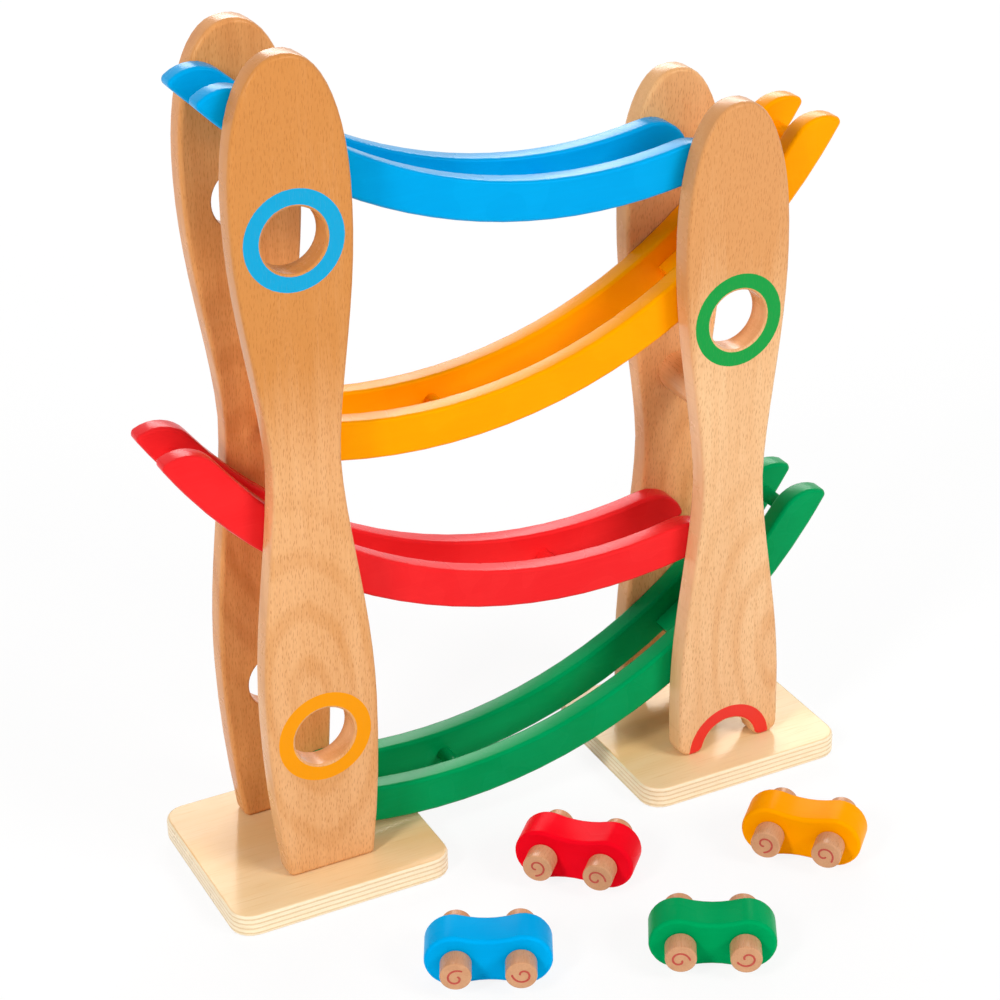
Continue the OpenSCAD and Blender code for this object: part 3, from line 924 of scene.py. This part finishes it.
@dataclass
class Workshop:
    """What every sub-assembly needs to dress its pieces."""

    nodes: dict[str, bpy.types.Object]
    effects: Effects
    corners: bpy.types.NodeTree

    def finish(self, name: str, material: bpy.types.Material) -> None:
        """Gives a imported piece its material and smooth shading.

        Args:
            name: The piece's node.
            material: Its finish.
        """
        piece = self.nodes[name]
        for slot in piece.material_slots:
            slot.material = material
        joined = piece.modifiers.new("joined_corners", "NODES")
        joined.node_group = self.corners
        flats = piece.modifiers.new("whole_flats", "DECIMATE")
        flats.decimate_type = "DISSOLVE"
        flats.angle_limit = math.radians(FLAT_ANGLE)
        shading = piece.modifiers.new("weighted_shading", "WEIGHTED_NORMAL")
        shading.mode = "FACE_AREA"
        shading.keep_sharp = True
        LOG.info("%s is finished with %s", name, material.name)


# Sub-assemblies


@dataclass
class Tower:
    """A pair of beech panels on a plywood base."""

    name: str
    ring_heights: tuple[float, ...]
    ring_colours: tuple[Colour, ...]
    arched: bool = False
    hole_r: float = 16.25 * MM
    ring_outer: float = 25.2 * MM
    foot_corner: float = 5.0 * MM
    arch_colour: Colour = linear(232, 52, 44)
    heart: Triple = ZERO
    veneer_shift: Triple = ZERO
    pale: Colour = BeechFinish.pale
    deep: Colour = BeechFinish.deep
    # The back panels take a darker, redder copy of the beech: partly a darker board, partly painted
    # shade from the front panel standing before each.
    back_pale: Colour = linear(228, 160, 96)
    back_deep: Colour = linear(184, 104, 46)
    bare_edge: float = 1.2 * MM
    arch_bare_edge: float = 1.1 * MM
    arch_wrap: float = 0.9 * MM
    # The front panels lean further toward the deep tone between these heights, darker towards the
    # top.
    deepen_from: float = 215 * MM
    deepen_to: float = 310 * MM
    deepen_amount: float = 0.85

    def rings(self, low: Vector, high: Vector) -> tuple[RingPaint, ...]:
        """Works out the painted rings of a panel.

        Args:
            low: The panel's lowest corner.
            high: Its highest corner.

        Returns:
            The rings.
        """
        middle = (low.x + high.x) / 2
        made = [
            RingPaint(
                (middle, 0.0, low.z + height), colour, self.hole_r, self.bare_edge, self.ring_outer
            )
            for height, colour in zip(self.ring_heights, self.ring_colours)
        ]
        if self.arched:
            arch = RingPaint(
                middle=(middle, 0.0, low.z),
                colour=self.arch_colour,
                hole=self.hole_r,
                bare_edge=self.arch_bare_edge,
                outer=self.ring_outer,
                foot_place=math.sqrt((self.hole_r + self.foot_corner) ** 2 - self.foot_corner**2),
                foot_corner=self.foot_corner,
                wrap=self.arch_wrap,
            )
            made.append(arch)
        return tuple(made)

    def panel(self, shop: Workshop, side: Side) -> None:
        """Dresses one panel.

        Args:
            shop: The workshop.
            side: Which panel of the pair.
        """
        name = f"{self.name}_{side.name.lower()}_panel"
        low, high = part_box(name)
        front = side is Side.FRONT
        face = low.y if front else high.y
        x, y, z = self.heart
        rise = z if front else 2 * z
        finish = BeechFinish(
            name=f"{name}_beech",
            heart=((low.x + high.x) / 2 + x, face - side.value * y, low.z + rise),
            # Back panels get the darker beech, partly a darker board and partly painted shade.
            pale=self.pale if front else self.back_pale,
            deep=self.deep if front else self.back_deep,
            deepen_from=low.z + self.deepen_from,
            deepen_to=low.z + self.deepen_to,
            deepen_amount=self.deepen_amount if front else 0.0,
            rings=self.rings(low, high),
            face=face,
            looks=side,
        )
        shop.finish(name, finish.build(shop.effects))

    def build(self, shop: Workshop, pins: bpy.types.Material, steel: bpy.types.Material) -> None:
        """Dresses the whole tower.

        Args:
            shop: The workshop.
            pins: The finish of the pins.
            steel: The finish of the screws.
        """
        plywood = PlywoodFinish(f"{self.name}_base_plywood", self.veneer_shift)
        for side in Side:
            self.panel(shop, side)
        shop.finish(f"{self.name}_base", plywood.build(shop.effects))
        shop.finish(f"{self.name}_pins", pins)
        shop.finish(f"{self.name}_screws", steel)


@dataclass
class TrackRun:
    """A pair of painted rails with its dowels and landing board."""

    track: Track
    paint: Colour
    thin: Colour
    landing: bool = True

    def build(self, shop: Workshop) -> None:
        """Dresses the track.

        Args:
            shop: The workshop.
        """
        colour = self.track.value
        finish = PaintFinish(f"{colour}_track_paint", self.paint, self.thin).build(shop.effects)
        names = [f"{colour}_{side.name.lower()}_rail" for side in Side] + [f"{colour}_low_dowel"]
        if self.landing:
            names += [f"{colour}_landing_board", f"{colour}_horn_dowel"]
        for name in names:
            shop.finish(name, finish)


@dataclass
class Spiral:
    """The spiral printed on a wheel's end: a flat ribbon, far out at first and hooked inside."""

    mean: float = 3.35 * MM
    swing: float = 1.75 * MM
    sweep: float = 325.0
    width: float = 1.05 * MM
    thickness: float = 0.06 * MM
    off_middle: float = 0.6 * MM
    steps: int = 56
    sunk: float = 0.02 * MM
    cap_steps: int = 5
    cap_start: float = 8.0

    def spine(self, start: float) -> list[Vector]:
        """Works out the line that the print follows, from its outer end inward.

        Args:
            start: The direction of the outer end in degrees.

        Returns:
            Points in the wheel's end plane.
        """
        outward = math.radians(start)
        middle = -self.off_middle * Vector((math.cos(outward), math.sin(outward)))
        points = []
        for step in range(self.steps + 1):
            share = step / self.steps
            radius = self.mean + self.swing * (1 - 2 * share) ** 3
            angle = math.radians(start + self.sweep * share)
            points.append(middle + radius * Vector((math.cos(angle), math.sin(angle))))
        return points

    def outline(self, start: float) -> list[tuple[Vector, Vector]]:
        """Works out the ribbon's two edges, with rounded ends.

        Args:
            start: The direction of the outer end in degrees.

        Returns:
            Pairs of edge points.
        """
        points = self.spine(start)
        pairs = []
        half = self.width / 2
        last = len(points) - 1
        rise = (90.0 - self.cap_start) / self.cap_steps
        caps = [math.radians(self.cap_start + rise * cap) for cap in range(self.cap_steps)]
        for index, point in enumerate(points):
            run = (points[min(index + 1, last)] - points[max(index - 1, 0)]).normalized()
            across = Vector((-run.y, run.x)) * half
            rounds = []
            for angle in caps if index in (0, last) else ():
                end = point + run * half * math.cos(angle) * (-1 if index == 0 else 1)
                rounds.append((end + across * math.sin(angle), end - across * math.sin(angle)))
            pairs += rounds if index == 0 else []
            pairs.append((point + across, point - across))
            pairs += rounds[::-1] if index == last else []
        return pairs

    def build(self, name: str, start: float, place: Matrix) -> bpy.types.Object:
        """Makes the ribbon.

        Args:
            name: The piece's name.
            start: The direction of the outer end in degrees.
            place: The wheel's end: X to the right and Y up in its plane, Z out of it.

        Returns:
            The piece.
        """
        mesh = bpy.data.meshes.new(name)
        shape = bmesh.new()
        sunk, proud = -self.sunk, self.thickness
        rows = []
        for left, right in self.outline(start):
            corners = [(left, sunk), (left, proud), (right, proud), (right, sunk)]
            rows.append([shape.verts.new(place @ Vector((p.x, p.y, z))) for p, z in corners])
        for row, following in zip(rows, rows[1:]):
            for corner in range(4):
                after = (corner + 1) % 4
                shape.faces.new((row[corner], row[after], following[after], following[corner]))
        shape.faces.new(rows[0][::-1])
        shape.faces.new(rows[-1])
        bmesh.ops.recalc_face_normals(shape, faces=shape.faces)
        shape.to_mesh(mesh)
        shape.free()
        piece = bpy.data.objects.new(name, mesh)
        bpy.context.scene.collection.objects.link(piece)
        return piece


WHEELS = (("front", "near"), ("front", "far"), ("rear", "near"), ("rear", "far"))


@dataclass
class Car:
    """A small car: a waisted block and four round wheels on two axles.

    The starts are where the spirals begin, in degrees, in the order of WHEELS.
    """

    track: Track
    paint: Colour
    thin: Colour
    starts: tuple[float, ...]
    wheel_length: float = 11.25 * MM

    def axis(self) -> Vector:
        """Reads which way the car's axles lie.

        Returns:
            The direction from its near side to its far side.
        """
        name = f"{self.track.value}_front_wheels_turn"
        joint = next(j for j in frame["joints"] if j["name"] == name)
        axis = Vector(joint["axis"]).normalized()
        return axis if axis.y > 0 else -axis

    def wheel_end(self, axle: str, side: str) -> Matrix:
        """Works out where a wheel's outer end lies.

        Args:
            axle: "front" or "rear".
            side: "near" or "far".

        Returns:
            X to the right and Y up in the end's plane as seen from outside, Z out of it.
        """
        low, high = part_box(f"{self.track.value}_{axle}_{side}_wheel")
        out = self.axis() * (-1 if side == "near" else 1)
        up = Vector((0, 0, 1))
        right = up.cross(out)
        turn = Matrix((right, up, out)).transposed().to_4x4()
        return Matrix.Translation((low + high) / 2 + out * self.wheel_length / 2) @ turn

    def build(self, shop: Workshop, ink: bpy.types.Material) -> None:
        """Dresses the car and prints its wheels.

        Args:
            shop: The workshop.
            ink: The finish of the spirals.
        """
        colour = self.track.value
        axis = self.axis()
        turn = math.degrees(math.atan2(axis.x, axis.y))
        body = PaintFinish(f"{colour}_car_paint", self.paint, self.thin, turn, gloss=0.02)
        shop.finish(f"{colour}_car_body", body.build(shop.effects))
        wood = BeechFinish(
            name=f"{colour}_wheel_beech",
            grain=Grain.THROUGH,
            turn=turn,
            heart=(0.03 * len(colour), 0.2, 0.01),
            pale=linear(214, 162, 122),
            deep=linear(182, 122, 84),
            fleck=linear(180, 116, 68),
            fleck_share=0.4,
            figure=0.9,
            ring_width=2.2 * MM,
        ).build(shop.effects)
        for axle in ("front", "rear"):
            shop.finish(f"{colour}_{axle}_axle", wood)
        for (axle, side), start in zip(WHEELS, self.starts):
            shop.finish(f"{colour}_{axle}_{side}_wheel", wood)
            name = f"{colour}_{axle}_{side}_spiral"
            piece = Spiral().build(name, start, self.wheel_end(axle, side))
            piece.data.materials.append(ink)
            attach(piece, f"{colour}_{axle}_wheels")
            LOG.info("%s is printed", name)


# Studio


@dataclass
class Softbox:
    """A rectangular light."""

    name: str
    place: Triple
    aim: Triple
    size: tuple[float, float]
    power: float

    def build(self) -> None:
        """Hangs the light."""
        light = bpy.data.lights.new(self.name, "AREA")
        light.shape = "RECTANGLE"
        light.size, light.size_y = self.size
        light.energy = self.power
        lamp = bpy.data.objects.new(self.name, light)
        lamp.location = self.place
        aim = Vector(self.aim) - Vector(self.place)
        lamp.rotation_euler = aim.to_track_quat("-Z", "Y").to_euler()
        lamp.visible_camera = False
        bpy.context.scene.collection.objects.link(lamp)


@dataclass
class Studio:
    """The white floor, the soft lights and the camera.

    The camera's place is measured from the left front panel's foot.
    """

    floor_size: float = 6.0
    floor_drop: float = 0.15 * MM
    ambient: float = 0.36
    floor_glow: float = 0.88
    camera_place: Triple = (-0.40128, -1.02433, 0.78469)
    focal: float = 92.53
    azimuth: float = -26.141
    elevation: float = 27.589
    roll: float = -1.394

    def world(self) -> None:
        """Makes the even light round the toy, which looks white from the camera."""
        world = bpy.data.worlds.new("white_room")
        world.use_nodes = True
        bpy.context.scene.world = world
        sheet = Sheet(world.node_tree)
        room = sheet.node("ShaderNodeBackground")
        sheet.fill_in(room, Strength=self.ambient)
        white = sheet.node("ShaderNodeBackground")
        mixed = sheet.node("ShaderNodeMixShader")
        sheet.feed(mixed.inputs[0], sheet.looked_at())
        sheet.feed(mixed.inputs[1], room.outputs[0])
        sheet.feed(mixed.inputs[2], white.outputs[0])
        for shader in (room, white):
            sheet.fill_in(shader, Color=(1.0, 1.0, 1.0, 1.0))
        output = sheet.node("ShaderNodeOutputWorld")
        sheet.fill_in(output, Surface=mixed.outputs[0])

    def floor(self) -> None:
        """Lays the white floor, which keeps a faint shadow of the toy."""
        mesh = bpy.data.meshes.new("floor")
        half = self.floor_size / 2
        corners = [(-half, -half), (half, -half), (half, half), (-half, half)]
        mesh.from_pydata([(x, y, -self.floor_drop) for x, y in corners], [], [(0, 1, 2, 3)])
        floor = bpy.data.objects.new("floor", mesh)
        bpy.context.scene.collection.objects.link(floor)
        material, sheet, shader = new_sheet("white_floor")
        sheet.fill_in(shader, Base_Color=linear(248, 248, 248), Roughness=0.7)
        glow = sheet.node("ShaderNodeEmission")
        mixed = sheet.node("ShaderNodeMixShader")
        sheet.feed(mixed.inputs[0], sheet.maths("MULTIPLY", sheet.looked_at(), self.floor_glow))
        sheet.feed(mixed.inputs[1], shader.outputs[0])
        sheet.feed(mixed.inputs[2], glow.outputs[0])
        output = next(n for n in sheet.tree.nodes if n.type == "OUTPUT_MATERIAL")
        sheet.fill_in(output, Surface=mixed.outputs[0])
        mesh.materials.append(material)

    def lights(self) -> None:
        """Hangs the softboxes."""
        for box in (
            Softbox("key_light", (1.3, -2.05, 1.7), (0.0, 0.0, 0.2), (1.0, 1.0), 41.0),
            Softbox("left_light", (-1.6, -0.75, 1.4), (0.0, 0.0, 0.25), (0.4, 0.6), 21.0),
            Softbox("back_light", (1.0, 2.1, 1.45), (0.0, 0.0, 0.2), (1.7, 0.8), 30.0),
        ):
            box.build()

    def camera(self) -> None:
        """Sets the camera where the photograph was taken from."""
        across, tilt, lean = (math.radians(a) for a in (self.azimuth, self.elevation, self.roll))
        right = Vector((math.cos(across), math.sin(across), 0.0))
        back = Vector(
            (math.sin(across) * math.cos(tilt), -math.cos(across) * math.cos(tilt), math.sin(tilt))
        )
        up = back.cross(right)
        leaning_right = math.cos(lean) * right + math.sin(lean) * up
        leaning_up = -math.sin(lean) * right + math.cos(lean) * up
        low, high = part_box("left_front_panel")
        anchor = Vector(((low.x + high.x) / 2, low.y, low.z))
        data = bpy.data.cameras.new("camera")
        data.lens = self.focal
        data.sensor_width = 36.0
        data.clip_start, data.clip_end = 0.01, 50.0
        camera = bpy.data.objects.new("camera", data)
        turn = Matrix((leaning_right, leaning_up, back)).transposed().to_4x4()
        camera.matrix_world = Matrix.Translation(anchor + Vector(self.camera_place)) @ turn
        bpy.context.scene.collection.objects.link(camera)
        bpy.context.scene.camera = camera

    def build(self) -> None:
        """Sets up the whole studio."""
        bpy.context.scene.view_settings.view_transform = "Standard"
        self.world()
        self.floor()
        self.lights()
        self.camera()


TOWERS = (
    Tower(
        "left",
        ring_heights=(79.5 * MM, 347.8 * MM),
        ring_colours=(linear(243, 152, 0), linear(0, 160, 208)),
        heart=(-6 * MM, 2 * MM, 105 * MM),
    ),
    Tower(
        "right",
        ring_heights=(256.7 * MM,),
        ring_colours=(linear(0, 152, 64),),
        arched=True,
        heart=(26 * MM, 4 * MM, 60 * MM),
        veneer_shift=(0.5, 0.37, 0.0),
        pale=linear(240, 195, 146),
        deep=linear(216, 152, 94),
        # Darker beech for the back panel: partly a darker board, partly painted shade.
        back_pale=linear(240, 184, 126),
        back_deep=linear(208, 138, 76),
    ),
)
TRACKS = (
    TrackRun(Track.GREEN, linear(0, 146, 80), linear(0, 154, 88)),
    TrackRun(Track.RED, linear(236, 36, 40), linear(240, 44, 46)),
    TrackRun(Track.YELLOW, linear(255, 158, 0), linear(255, 164, 0)),
    TrackRun(Track.BLUE, linear(0, 158, 222), linear(0, 165, 228), landing=False),
)
CARS = (
    Car(Track.BLUE, linear(0, 166, 234), linear(0, 174, 240), (175.0, 300.0, 50.0, 120.0)),
    Car(Track.GREEN, linear(0, 158, 88), linear(0, 164, 94), (199.0, 210.0, 0.0, 30.0)),
    Car(Track.RED, linear(240, 8, 30), linear(244, 14, 36), (348.0, 180.0, 262.0, 90.0)),
    Car(Track.YELLOW, linear(255, 160, 0), linear(255, 168, 0), (313.0, 240.0, 265.0, 60.0)),
)


def main() -> None:
    """Builds the studio and dresses the toy, one sub-assembly after another."""
    logging.basicConfig(level=logging.INFO, format="%(name)s: %(message)s")
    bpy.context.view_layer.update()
    Studio().build()
    shop = Workshop(frame["nodes"], Effects.make(), smooth_shapes())

    turned_beech = BeechFinish(
        "turned_beech", grain=Grain.THROUGH, figure=0.3, heart=(0.02, 0.0, 0.2)
    ).build(shop.effects)
    steel = SteelFinish().build(shop.effects)
    for tower in TOWERS:
        tower.build(shop, turned_beech, steel)
    shop.finish("crossbar", turned_beech)
    for run in TRACKS:
        run.build(shop)
    ink = InkFinish().build(shop.effects)
    for car in CARS:
        car.build(shop, ink)


if __name__ == "__main__":
    main()
